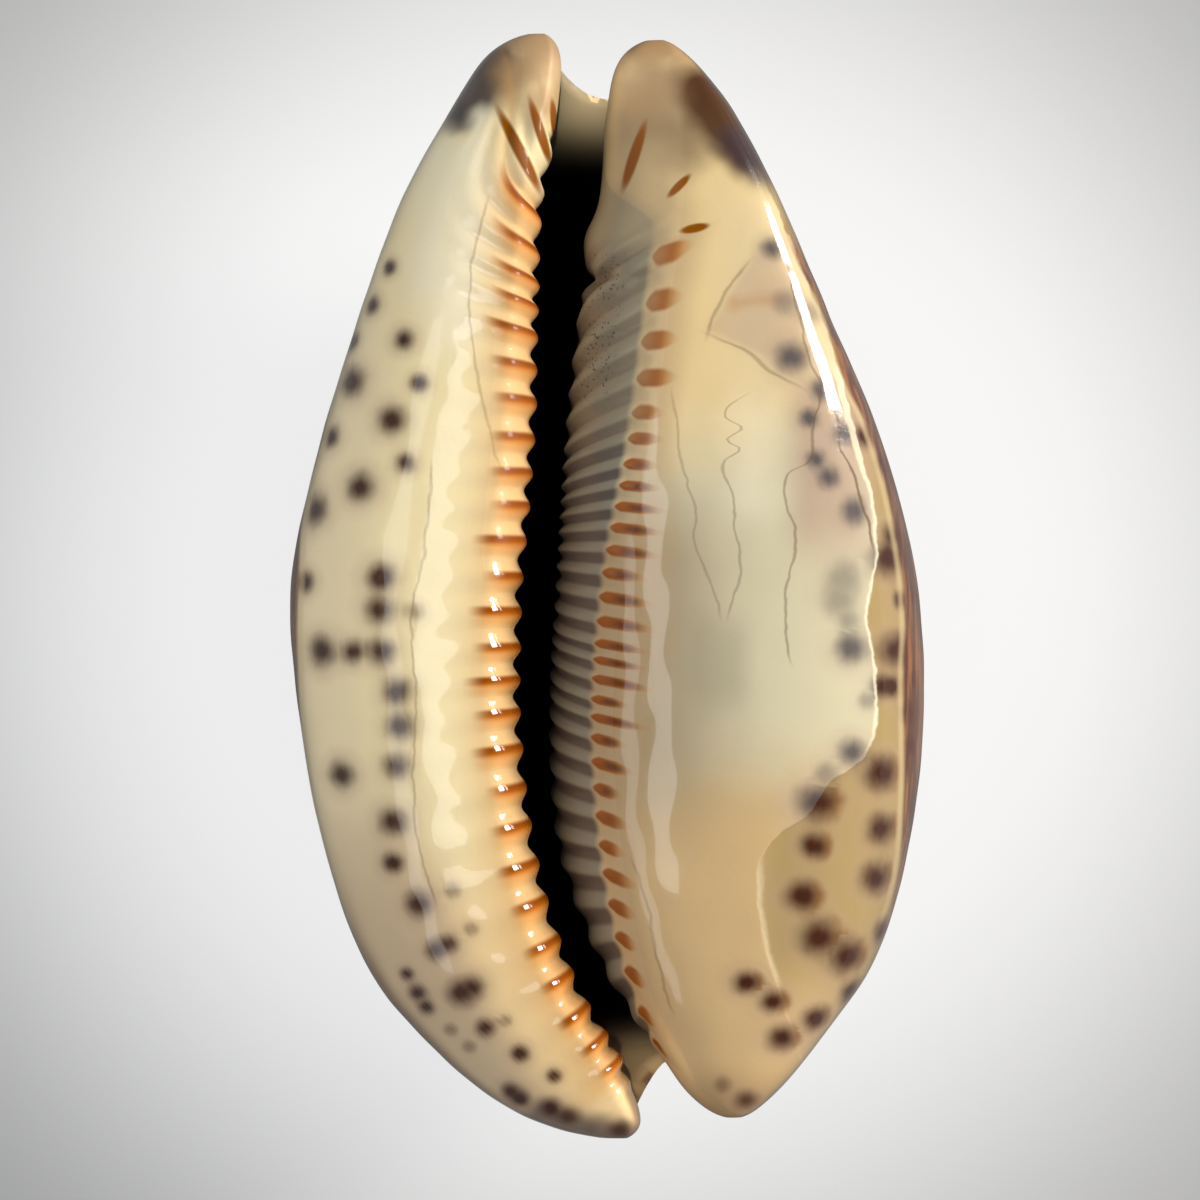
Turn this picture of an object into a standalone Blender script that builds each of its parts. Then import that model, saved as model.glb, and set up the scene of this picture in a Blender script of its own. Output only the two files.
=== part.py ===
# Cowrie shell, one grown piece, lying on its back with the slit upwards.
# +Y runs to the front end with its canal notch, +Z is up, and the shell rests at z = 0.

import math

import bmesh
import bpy
import numpy as np

MM = 0.001

# Driving dimensions, in millimetres. Heights are measured from the lowest point of the back.
LIP_TOP = 28.6
HORN_HEIGHT = 25.5
NOTCH_HEIGHT = 20.0
LEFT_FLANK_DROP = 5.5
RIGHT_FLANK_DROP = 8.5
LABRAL_EDGE_DROP = 4.0
COLUMELLA_DROP = 7.2
COLUMELLA_DEPTH = 5.0
COLUMELLA_TIP = 0.8
REST_SPOT_DEPTH = 0.75

# Thicknesses of the wall, and how its edges turn in.
BACK_WALL = 1.4
LEFT_WALL = 1.6
RIGHT_WALL = 1.5
RIGHT_BASE_WALL = 3.4
RIGHT_BASE_LEAN = 0.5
LABRAL_EDGE_WALL = 1.7
LABRAL_EDGE_ROLL = 2.4
COLUMELLA_WALL = 3.2
COLUMELLA_SHOULDER = 0.5
RIM_ROUNDING = 1.6

# Heights and drops swell from the two ends to the middle as a half sine, to these powers.
CREST_SWELL = 0.5
EDGE_SWELL = 0.8
FLANK_SWELL = 1.2
LIP_WALL_SWELL = 0.6
FLANK_WALL_SWELL = 0.7
FRONT_KEEL_SWELL = 1.3
BACK_KEEL_SWELL = 0.9

# Teeth and ribs: how many, how high, from where to where in y, and how strong on the columns
# that follow the labral edge, and on those that follow the second one past the right crest.
RIDGES = 28
RIDGE_HEIGHT = 0.45
RIDGE_SPAN = (-27.9, 26.8)
END_ROWS = 4
LABRAL_STRENGTH = (0.6, 0.8, 1.0, 1.0, 0.7, 0.3)
COLUMELLA_STRENGTH = (0.3, 0.9, 1.0, 0.9, 0.7, 0.6, 0.5, 0.3)
COLUMELLA_FIRST = 2

# Points closer than this are one, and slivers thinner than this are taken out, in metres.
MERGE_DISTANCE = 0.00001
SLIVER = 0.000005

# Values that change along the shell stand at 13 stations, as the rails below do.
# How far over the base each lip's crest lies, from the outline on the left and from the slit
# on the right, how square the right base's two shoulders are, and how full the left
# underside is, which is cut back at the hind canal.
LEFT_CREST_SHARE = 0.86
RIGHT_CREST_SHARE = (0.5, 0.5, 0.5, 0.5, 0.5, 0.5, 0.51, 0.56, 0.6, 0.62, 0.62, 0.62, 0.62)
BASE_TO_MARGIN = (2.4, 2.4, 2.4, 2.4, 2.4, 2.4, 2.6, 3.6, 4.8, 5.4, 5.0, 4.4, 4.2)
BASE_TO_SLIT = (2.5, 2.5, 2.5, 2.5, 2.5, 2.6, 2.9, 3.4, 3.8, 4.2, 4.4, 4.4, 4.4)
LEFT_UNDERSIDE = (1.45, 2.1, 2.2, 2.2, 2.2, 2.2, 2.2, 2.2, 2.2, 2.2, 2.2, 2.2, 2.2)

# Each rail is a line that runs along the shell from the back end to the front end.
# Its stations stand at every 15 degrees of a half circle drawn over its span in y,
# and the values are its distances from the slit's line, left being negative.
RAILS = {
    "left outline": {
        "span": (-32.0, 32.0),
        "x": (0.9, -4.6, -9.4, -13.9, -16.5, -18.1, -18.7, -17.0, -14.6, -12.1, -9.2, -6.9, -3.9),
    },
    "labral edge": {
        "span": (-32.0, 32.0),
        "x": (0.9, 1.9, 0.7, -2.2, -4.3, -5.3, -5.2, -4.5, -4.3, -4.0, -2.9, -2.8, -3.9),
    },
    "keel": {
        "span": (-28.0, 28.8),
        "x": (3.6, 3.2, 2.6, 2.0, 1.5, 1.0, 0.6, 0.4, 0.3, 0.2, 0.2, 0.2, 0.2),
    },
    "columella": {
        "span": (-30.8, 31.6),
        "x": (7.3, 4.9, 2.6, -0.5, -2.8, -3.3, -2.9, -2.4, -1.6, -0.5, -0.1, 0.7, 2.7),
    },
    "right outline": {
        "span": (-30.8, 31.6),
        "x": (7.3, 9.5, 12.4, 15.9, 17.9, 18.8, 18.4, 16.2, 12.9, 10.05, 7.4, 4.85, 2.7),
    },
}

# The loop of one cross-section, from the labral edge over the outside and back along the inside.
# Each arc has its number of steps and the power of its superellipse, 2 being an ellipse.
# A power is one number, or the values at the 13 stations.
ARCS = (
    ("labral edge", "left crest", 4, 2.0),
    ("left crest", "left outline", 7, 2.5),
    ("left outline", "keel", 8, LEFT_UNDERSIDE),
    ("keel", "right outline", 8, 2.2),
    ("right outline", "right crest", 5, BASE_TO_MARGIN),
    ("right crest", "columella", 8, BASE_TO_SLIT),
    ("columella", "columella foot", 4, 2.0),
    ("columella foot", "foot side", 1, 2.0),
    ("foot side", "foot back", 1, 2.0),
    ("foot back", "columella back", 2, 2.0),
    ("columella back", "under right base", 2, 2.2),
    ("under right base", "right inside", 3, 2.2),
    ("right inside", "keel inside", 8, 2.2),
    ("keel inside", "left inside", 8, LEFT_UNDERSIDE),
    ("left inside", "under labral lip", 3, 2.2),
    ("under labral lip", "labral edge", 2, 2.0),
)

SHELL_COLOUR = (0.74, 0.62, 0.41, 1.0)


def clear_scene():
    for item in list(bpy.data.objects):
        bpy.data.objects.remove(item, do_unlink=True)


def shift(point, across, up, along=0.0):
    return np.stack([point[0] + across, point[1] + along, point[2] + up])


def inside_flank(flank, wall, grown, inward):
    return shift(flank, wall * grown, 0.0, abs(wall) * grown * inward)


def through_stations(values, places):
    # Catmull-Rom curve through evenly spaced stations, with places from 0 to 1.
    first = 2 * values[0] - values[1]
    last = 2 * values[-1] - values[-2]
    knots = np.array([first, *values, last])
    spans = len(values) - 1
    at = np.clip(places * spans, 0, spans - 1).astype(int)
    t = places * spans - at
    p0, p1, p2, p3 = knots[at], knots[at + 1], knots[at + 2], knots[at + 3]
    linear = (p2 - p0) * t
    square = (2 * p0 - 5 * p1 + 4 * p2 - p3) * t**2
    cube = (3 * p1 - p0 - 3 * p2 + p3) * t**3
    return (2 * p1 + linear + square + cube) / 2


def rail(name, places, height):
    low, high = RAILS[name]["span"]
    along = (low + high) / 2 - (high - low) / 2 * np.cos(math.pi * places)
    return np.stack([through_stations(RAILS[name]["x"], places), along, height])


def outside_points(places, swell):
    # The rails at their heights, and the crests of the two lips.
    rise = LIP_TOP - HORN_HEIGHT
    crest_height = HORN_HEIGHT + rise * swell**CREST_SWELL
    keel_swell = np.where(places > 0.5, FRONT_KEEL_SWELL, BACK_KEEL_SWELL)
    heights = {
        "labral edge": HORN_HEIGHT + (rise - LABRAL_EDGE_DROP) * swell**EDGE_SWELL,
        "left outline": HORN_HEIGHT - LEFT_FLANK_DROP * swell**FLANK_SWELL,
        "keel": NOTCH_HEIGHT * (1 - swell**keel_swell),
        "columella": HORN_HEIGHT + (rise - COLUMELLA_DROP) * swell**EDGE_SWELL,
        "right outline": HORN_HEIGHT - RIGHT_FLANK_DROP * swell**FLANK_SWELL,
    }
    points = {name: rail(name, places, height) for name, height in heights.items()}
    left, edge = points["left outline"], points["labral edge"]
    wall, right = points["columella"], points["right outline"]
    left_crest = left + LEFT_CREST_SHARE * (edge - left)
    right_crest = wall + through_stations(RIGHT_CREST_SHARE, places) * (right - wall)
    left_crest[2] = crest_height
    right_crest[2] = crest_height
    points.update({"left crest": left_crest, "right crest": right_crest})
    return points


def inside_points(places, swell, outside):
    # The wall grows in from the rim with a rounded edge, and is thin where the horns end.
    low, high = RAILS["keel"]["span"]
    from_rim = (high - low) / 2 * (1 - np.abs(np.cos(math.pi * places)))
    grown = np.sqrt(1 - np.clip(1 - from_rim / RIM_ROUNDING, 0, 1) ** 2)
    lip = grown * swell**LIP_WALL_SWELL
    flank = grown * swell**FLANK_WALL_SWELL
    inward = np.cos(math.pi * places)
    edge, wall, keel = outside["labral edge"], outside["columella"], outside["keel"]
    right_crest = outside["right crest"]
    tip = COLUMELLA_TIP
    foot = COLUMELLA_WALL + tip / 4
    return {
        "columella foot": shift(wall, foot * lip, -COLUMELLA_DEPTH * lip),
        "foot side": shift(wall, (foot + tip) * lip, (tip - COLUMELLA_DEPTH) * lip),
        "foot back": shift(wall, (foot + tip / 4) * lip, (2 * tip - COLUMELLA_DEPTH) * lip),
        "columella back": shift(wall, COLUMELLA_WALL * lip, -COLUMELLA_SHOULDER * lip),
        "under right base": shift(right_crest, RIGHT_BASE_LEAN * grown, -RIGHT_BASE_WALL * lip),
        "right inside": inside_flank(outside["right outline"], -RIGHT_WALL, flank, inward),
        "keel inside": shift(keel, 0.0, BACK_WALL * grown, BACK_WALL * grown * inward),
        "left inside": inside_flank(outside["left outline"], LEFT_WALL, flank, inward),
        "under labral lip": shift(edge, -LABRAL_EDGE_ROLL * lip, -LABRAL_EDGE_WALL * lip),
    }


def section_points(places):
    # The named points that every cross-section passes through.
    swell = np.sin(math.pi * places)
    swell[[0, -1]] = 0.0
    outside = outside_points(places, swell)
    return {**outside, **inside_points(places, swell, outside)}


def arc_points(upright, level, power, steps):
    # A quarter superellipse that leaves one point upright and reaches the other level.
    turn = np.linspace(0, math.pi / 2, steps + 1)
    rise = np.sin(turn) ** (2 / power[:, None])
    fall = np.abs(np.cos(turn)) ** (2 / power[:, None])
    fall[:, -1] = 0.0
    blend = np.sin(turn) ** 2
    across = level[0][:, None] + (upright[0] - level[0])[:, None] * fall
    along = upright[1][:, None] + (level[1] - upright[1])[:, None] * blend
    height = upright[2][:, None] + (level[2] - upright[2])[:, None] * rise
    return np.stack([across, along, height], axis=-1)


def section_loops(places):
    # One closed loop of points for each place, with the arcs joined end to end.
    points = section_points(places)
    stations = len(RIGHT_CREST_SHARE)
    arcs = []
    for index, (start, end, steps, powers) in enumerate(ARCS):
        power = through_stations(np.broadcast_to(powers, stations), places)
        if index % 2 == 0:
            arc = arc_points(points[start], points[end], power, steps)
        else:
            arc = arc_points(points[end], points[start], power, steps)[:, ::-1]
        arcs.append(arc[:, :-1])
    return np.concatenate(arcs, axis=1)


def arc_start(name):
    # The column at which the loop passes a named point.
    column = 0
    for start, _, steps, _ in ARCS:
        if start == name:
            return column
        column += steps
    raise ValueError(name)


def row_places():
    # Rows stand on every ridge and in every valley, with a few more at each end.
    half_length = RAILS["left outline"]["span"][1]
    ridge_rows = np.linspace(RIDGE_SPAN[0], RIDGE_SPAN[1], 2 * RIDGES + 1)
    middle = np.arccos(-ridge_rows / half_length) / math.pi
    back = np.linspace(0, middle[0], END_ROWS + 1)[:-1]
    front = np.linspace(middle[-1], 1, END_ROWS + 1)[1:]
    return np.concatenate([back, middle, front]), len(back)


def surface_normals(loops):
    # Outward normals of the loft, from its differences along and around.
    along = np.gradient(loops, axis=0)
    around = np.roll(loops, -1, axis=1) - np.roll(loops, 1, axis=1)
    normals = np.cross(around, along)
    lengths = np.linalg.norm(normals, axis=2, keepdims=True)
    return normals / np.maximum(lengths, 1e-9)


def add_ridges(loops, first_ridge_row):
    # Teeth on the labral lip, and ribs over the columellar lip and down its wall.
    rows, columns, _ = loops.shape
    ridge_rows = np.arange(rows) - first_ridge_row
    on_ridges = (ridge_rows >= 0) & (ridge_rows <= 2 * RIDGES)
    wave = np.where(ridge_rows % 2 == 1, 0.5, -0.5) * on_ridges
    strength = np.zeros(columns)
    strength[: len(LABRAL_STRENGTH)] = LABRAL_STRENGTH
    first = arc_start("right crest") + COLUMELLA_FIRST
    strength[first : first + len(COLUMELLA_STRENGTH)] = COLUMELLA_STRENGTH
    height = RIDGE_HEIGHT * wave[:, None] * strength[None, :]
    return loops + surface_normals(loops) * height[:, :, None]


def set_on_floor(loops):
    # The box's middle goes to the origin, and a small worn spot on the back to z = 0.
    low = loops.min(axis=(0, 1))
    high = loops.max(axis=(0, 1))
    middle = (low + high) / 2
    placed = loops - np.array([middle[0], middle[1], low[2] + REST_SPOT_DEPTH])
    placed[:, :, 2] = np.maximum(placed[:, :, 2], 0.0)
    return placed * MM


def shell_mesh():
    places, first_ridge_row = row_places()
    loops = set_on_floor(add_ridges(section_loops(places), first_ridge_row))
    rows, columns, _ = loops.shape
    mesh = bmesh.new()
    bmesh.ops.create_grid(mesh, x_segments=columns, y_segments=rows - 1, size=0.5)
    for vertex in mesh.verts:
        column = round((vertex.co.x + 0.5) * columns) % columns
        row = round((vertex.co.y + 0.5) * (rows - 1))
        vertex.co = loops[row, column]
    bmesh.ops.remove_doubles(mesh, verts=mesh.verts, dist=MERGE_DISTANCE)
    bmesh.ops.dissolve_degenerate(mesh, edges=mesh.edges, dist=SLIVER)
    bmesh.ops.recalc_face_normals(mesh, faces=mesh.faces)
    bmesh.ops.triangulate(mesh, faces=mesh.faces)
    data = bpy.data.meshes.new("shell")
    mesh.to_mesh(data)
    mesh.free()
    data.shade_smooth()
    return data


def enamel():
    material = bpy.data.materials.new("shell_enamel")
    material.use_nodes = True
    shader = material.node_tree.nodes["Principled BSDF"]
    shader.inputs["Base Color"].default_value = SHELL_COLOUR
    shader.inputs["Roughness"].default_value = 0.2
    shader.inputs["Metallic"].default_value = 0.0
    return material


def build():
    clear_scene()
    collection = bpy.data.collections.new("cowrie_shell")
    bpy.context.scene.collection.children.link(collection)
    shell = bpy.data.objects.new("shell", shell_mesh())
    shell.data.materials.append(enamel())
    collection.objects.link(shell)


build()
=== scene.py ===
import math

import bmesh
import bpy
import numpy as np
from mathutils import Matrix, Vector
from mathutils.bvhtree import BVHTree


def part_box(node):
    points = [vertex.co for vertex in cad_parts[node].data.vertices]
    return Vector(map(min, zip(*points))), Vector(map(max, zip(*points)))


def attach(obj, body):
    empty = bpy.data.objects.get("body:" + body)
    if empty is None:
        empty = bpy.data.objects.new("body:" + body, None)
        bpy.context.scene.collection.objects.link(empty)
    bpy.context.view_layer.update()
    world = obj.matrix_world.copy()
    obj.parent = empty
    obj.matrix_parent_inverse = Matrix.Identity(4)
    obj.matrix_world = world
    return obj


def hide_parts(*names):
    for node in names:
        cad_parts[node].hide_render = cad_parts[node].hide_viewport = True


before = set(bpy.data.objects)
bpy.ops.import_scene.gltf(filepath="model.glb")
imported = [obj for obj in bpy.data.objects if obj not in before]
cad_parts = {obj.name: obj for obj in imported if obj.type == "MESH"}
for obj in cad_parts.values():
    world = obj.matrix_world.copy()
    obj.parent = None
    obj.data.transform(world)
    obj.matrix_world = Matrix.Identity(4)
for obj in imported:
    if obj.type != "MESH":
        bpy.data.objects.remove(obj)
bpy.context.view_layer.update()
print("frame loaded")

mm = 0.001
stations = 13       # where the drawn values along the shell are given


# The form of the shell: the same rails and sections as the frame, drawn much finer.
shellForm = dict(
    lipTop=28.6, hornHeight=25.5, notchHeight=20.0,
    frontKeelPower=1.3, backKeelPower=0.9,
    leftFlankDrop=5.5, rightFlankDrop=8.5,
    leftCrestShare=0.86,
    rightCrestShare=(0.5, 0.5, 0.5, 0.5, 0.5, 0.5, 0.51, 0.56, 0.6, 0.62, 0.62, 0.62, 0.62),
    labralEdgeDrop=4.0, columellaDrop=7.2,
    columellaDepth=5.0, columellaWall=3.2, columellaTip=0.8,
    backWall=1.4, leftWall=1.6, rightWall=1.5,
    rightBaseWall=3.4, labralEdgeWall=1.7, rimRounding=1.6,
    restSpotDepth=0.75,
    restRounding=0.3,   # how softly the drawn flat spot meets the back around it
    # swellings of the inner lip's edge into the slit: middle in y, reach, how far
    fossulaBends=((20.2, 1.4, 0.5), (17.8, 0.5, -0.65)),
    rows=456,           # steps along the shell
    endCrowding=0.3,    # how far the rows draw together at the two ends
    wobble=0.014,       # height of the glaze's slow waves
    calmEnds=0.05,      # how near the two ends the waves die out
    weld=0.004, sliver=0.002,   # points this close are one, edges this short go
)

# Each rail has its span in y and its distances from the slit's line at every 15 degrees
# of a half circle over that span, from the back end to the front.
rails = {
    "leftOutline": ((-32.0, 32.0),
        (0.9, -4.6, -9.4, -13.9, -16.5, -18.1, -18.7, -17.0, -14.6, -12.1, -9.2, -6.9, -3.9)),
    "labralEdge": ((-32.0, 32.0),
        (0.9, 1.9, 0.7, -2.2, -4.3, -5.3, -5.2, -4.5, -4.3, -4.0, -2.9, -2.8, -3.9)),
    "keel": ((-28.0, 28.8),
        (3.6, 3.2, 2.6, 2.0, 1.5, 1.0, 0.6, 0.4, 0.3, 0.2, 0.2, 0.2, 0.2)),
    "columella": ((-30.8, 31.6),
        (7.3, 4.9, 2.6, -0.5, -2.8, -3.3, -2.9, -2.4, -1.6, -0.5, -0.1, 0.7, 2.7)),
    "rightLip": ((-30.8, 31.6),
        (7.3, 5.2, 2.8, 0.9, -0.4, -0.9, -0.3, 1.2, 2.2, 3.0, 3.0, 3.0, 2.7)),
    "rightOutline": ((-30.8, 31.6),
        (7.3, 9.5, 12.4, 15.9, 17.9, 18.8, 18.4, 16.2, 12.9, 10.05, 7.4, 4.85, 2.7)),
}

# The arcs of one section: ends, steps and superellipse power, which may change along the shell.
baseToMargin = (2.4, 2.4, 2.4, 2.4, 2.4, 2.4, 2.6, 3.6, 4.8, 5.4, 5.0, 4.4, 4.2)
baseToSlit = (2.5, 2.5, 2.5, 2.5, 2.5, 2.6, 2.9, 3.4, 3.8, 4.2, 4.4, 4.4, 4.4)
leftUnderside = (1.45, 2.1, 2.2, 2.2, 2.2, 2.2, 2.2, 2.2, 2.2, 2.2, 2.2, 2.2, 2.2)
arcs = (
    ("labralEdge", "leftCrest", 12, 2.0),
    ("leftCrest", "leftOutline", 42, 2.5),
    ("leftOutline", "keel", 12, leftUnderside),
    ("keel", "rightOutline", 12, 2.2),
    ("rightOutline", "rightCrest", 32, baseToMargin),
    ("rightCrest", "columella", 52, baseToSlit),
    ("columella", "columellaFoot", 9, 2.0),
    ("columellaFoot", "footSide", 2, 2.0),
    ("footSide", "footBack", 1, 2.0),
    ("footBack", "columellaBack", 3, 2.0),
    ("columellaBack", "underRightBase", 3, 2.2),
    ("underRightBase", "rightInside", 3, 2.2),
    ("rightInside", "keelInside", 12, 2.2),
    ("keelInside", "leftInside", 12, leftUnderside),
    ("leftInside", "underLabralLip", 4, 2.2),
    ("underLabralLip", "labralEdge", 6, 2.0),
)


def throughStations(values, places):
    # Catmull-Rom through evenly spaced stations, places running from 0 to 1
    knots = np.array([2 * values[0] - values[1], *values, 2 * values[-1] - values[-2]])
    stretch = np.clip(places * (len(values) - 1), 0, len(values) - 1.000001)
    at = stretch.astype(int)
    t = stretch - at
    p0, p1, p2, p3 = knots[at], knots[at + 1], knots[at + 2], knots[at + 3]
    square = (2 * p0 - 5 * p1 + 4 * p2 - p3) * t**2
    cube = (3 * p1 - p0 - 3 * p2 + p3) * t**3
    return (2 * p1 + (p2 - p0) * t + square + cube) / 2


def smoothStep(low, high, value):
    t = np.clip((value - low) / (high - low), 0, 1)
    return t * t * (3 - 2 * t)


def rail(name, places, height):
    (low, high), across = rails[name]
    along = (low + high) / 2 - (high - low) / 2 * np.cos(math.pi * places)
    return np.stack([throughStations(across, places), along, height])


def moved(point, across, up, along=0.0):
    return np.stack([point[0] + across, point[1] + along, point[2] + up])


def sectionPoints(places, f):
    swell = np.sin(math.pi * places)
    swell[[0, -1]] = 0.0
    horn, rise = f["hornHeight"], f["lipTop"] - f["hornHeight"]
    crestHeight = horn + rise * swell**0.5
    edgeHeight = horn + (rise - f["labralEdgeDrop"]) * swell**0.8
    wallHeight = horn + (rise - f["columellaDrop"]) * swell**0.8
    keelPower = np.where(places > 0.5, f["frontKeelPower"], f["backKeelPower"])

    edge = rail("labralEdge", places, edgeHeight)
    left = rail("leftOutline", places, horn - f["leftFlankDrop"] * swell**1.2)
    keel = rail("keel", places, f["notchHeight"] * (1 - swell**keelPower))
    right = rail("rightOutline", places, horn - f["rightFlankDrop"] * swell**1.2)
    wall = rail("columella", places, wallHeight)
    for middle, reach, out in f["fossulaBends"]:
        wall[0] -= out * np.exp(-(((wall[1] - middle) / reach) ** 2))
    leftCrest = left + f["leftCrestShare"] * (edge - left)
    leftCrest[2] = crestHeight
    rightCrest = wall + throughStations(f["rightCrestShare"], places) * (right - wall)
    rightCrest[2] = crestHeight

    low, high = rails["keel"][0]
    fromRim = (high - low) / 2 * (1 - np.abs(np.cos(math.pi * places)))
    grown = np.sqrt(1 - np.clip(1 - fromRim / f["rimRounding"], 0, 1) ** 2)
    lipGrown = grown * swell**0.6
    flankGrown = grown * swell**0.7
    inward = np.cos(math.pi * places)
    depth, tip = f["columellaDepth"], f["columellaTip"]
    foot = f["columellaWall"] + tip / 4
    return {
        "labralEdge": edge,
        "leftCrest": leftCrest,
        "leftOutline": left,
        "keel": keel,
        "rightOutline": right,
        "rightCrest": rightCrest,
        "columella": wall,
        "columellaFoot": moved(wall, foot * lipGrown, -depth * lipGrown),
        "footSide": moved(wall, (foot + tip) * lipGrown, (tip - depth) * lipGrown),
        "footBack": moved(wall, (foot + tip / 4) * lipGrown, (2 * tip - depth) * lipGrown),
        "columellaBack": moved(wall, f["columellaWall"] * lipGrown, -0.5 * lipGrown),
        "underRightBase": moved(rightCrest, 0.5 * grown, -f["rightBaseWall"] * lipGrown),
        "rightInside": moved(
            right, -f["rightWall"] * flankGrown, 0.0, f["rightWall"] * flankGrown * inward),
        "keelInside": moved(keel, 0.0, f["backWall"] * grown, f["backWall"] * grown * inward),
        "leftInside": moved(
            left, f["leftWall"] * flankGrown, 0.0, f["leftWall"] * flankGrown * inward),
        "underLabralLip": moved(edge, -2.4 * lipGrown, -f["labralEdgeWall"] * lipGrown),
    }


def arcPoints(upright, level, power, steps):
    # the steps are spaced so that squarer curves too have points close to both their ends
    share = np.linspace(0, 1, steps + 1)
    near, far = (side ** (power[:, None] / 2) for side in (share, 1 - share))
    turn = math.pi / 2 * near / (near + far)
    rise = np.sin(turn) ** (2 / power[:, None])
    fall = np.abs(np.cos(turn)) ** (2 / power[:, None])
    fall[:, -1] = 0.0
    blend = np.sin(turn) ** 2
    across = level[0][:, None] + (upright[0] - level[0])[:, None] * fall
    along = upright[1][:, None] + (level[1] - upright[1])[:, None] * blend
    height = upright[2][:, None] + (level[2] - upright[2])[:, None] * rise
    return np.stack([across, along, height], axis=-1)


def sectionLoops(places, f):
    points = sectionPoints(places, f)
    pieces = []
    for index, (start, end, steps, power) in enumerate(arcs):
        power = throughStations(np.broadcast_to(power, stations), places)
        if index % 2 == 0:
            arc = arcPoints(points[start], points[end], power, steps)
        else:
            arc = arcPoints(points[end], points[start], power, steps)[:, ::-1]
        pieces.append(arc[:, :-1])
    return np.concatenate(pieces, axis=1)


def columnOf(name):
    column = 0
    for start, _, steps, _ in arcs:
        if start == name:
            return column
        column += steps
    raise ValueError(name)


def outwardNormals(loops):
    along = np.gradient(loops, axis=0)
    around = np.roll(loops, -1, axis=1) - np.roll(loops, 1, axis=1)
    normals = np.cross(along, around)
    return normals / np.maximum(np.linalg.norm(normals, axis=2, keepdims=True), 1e-9)


# The teeth: where they stand along each lip, in mm from the middle, back to front.
teeth = dict(
    leftPlaces=(-29.4, -27.9, -26.5, -24.8, -22.8, -20.8, -18.4, -16.2, -13.9, -11.7, -9.4, -7.3,
                -5.4, -3.5, -1.4, 0.6, 2.7, 4.7, 6.6, 8.6, 10.8, 12.8, 14.8, 16.5, 18.0,
                19.9, 22.2, 24.3, 27.7),
    rightPlaces=(-26.4, -24.6, -22.2, -20.2, -18.3, -16.5, -14.9, -13.2, -11.6, -10.1, -8.7,
                 -7.5, -6.5, -5.3, -4.2, -3.3, -2.0, -0.6, 0.8, 2.1, 3.4, 4.6, 5.8, 7.0,
                 8.5, 9.9, 11.9, 14.0, 16.2, 18.9, 20.8, 22.4),
    leftHeight=0.46, rightHeight=0.32,
    # these run from the back end to the front end
    leftLean=(-0.5, -0.55, -0.55, -0.45, -0.25, -0.1, 0.0, 0.0, 0.35, 1.0, 3.0, 3.5, 3.5),
    leftSharpness=(0.9, 0.9, 0.9, 0.9, 0.9, 0.9, 0.9, 0.9, 0.8, 0.6, 0.6, 0.6, 0.6),
    leftShift=(0.05, 0.05, 0.05, 0.05, 0.07, 0.07, 0.07, 0.07, 0.1, 0.25, 0.35, 0.35, 0.35),
    leftSpread=(1.0, 1.1, 1.2, 1.3, 1.3, 1.3, 1.3, 1.3, 1.5, 1.9, 1.5, 1.3, 1.2),
    barLean=(-0.8, -0.8, -0.7, -0.5, -0.35, -0.2, -0.14, -0.06, 0.15, 0.5, 0.9, 1.2, 1.4),
    ribLean=(-0.5, -0.5, -0.4, -0.2, 0.1, 0.25, 0.1, -0.35, -0.6, -0.6, -0.6, -0.6, -0.6),
    streakLength=(2.0, 2.0, 2.0, 2.1, 2.3, 2.6, 2.6, 2.6, 2.8, 3.0, 1.4, 1.0, 1.0),
    barLength=(1.1, 1.1, 1.2, 1.4, 1.9, 3.0, 3.3, 2.1, 2.1, 2.5, 2.5, 2.5, 2.5),
)


def toothCount(places, along):
    # counts teeth from the back end: whole numbers at the ridges' tops
    beyond = (2 * places[0] - places[1], *places, 2 * places[-1] - places[-2])
    return np.interp(along, beyond, np.arange(-1, len(places) + 1))


def lipDistances(loops, places):
    # distance from a lip's edge: level out over the base, along the section further in
    step = np.linalg.norm(np.roll(loops, -1, axis=1) - loops, axis=2)
    run = np.concatenate([np.zeros((len(loops), 1)), np.cumsum(step, axis=1)], axis=1)
    total = run[:, -1:]
    run = run[:, :-1]
    left = np.where(run > total / 2, run - total, loops[:, :1, 0] - loops[:, :, 0])
    crest, wall = columnOf("rightCrest"), columnOf("columella")
    lip = rail("rightLip", places, 0 * places)[0]
    edge = [np.interp(-lip[row], -loops[row, crest : wall + 1, 0], run[row, crest : wall + 1])
            for row in range(len(loops))]
    return left, np.array(edge)[:, None] - run


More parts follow.
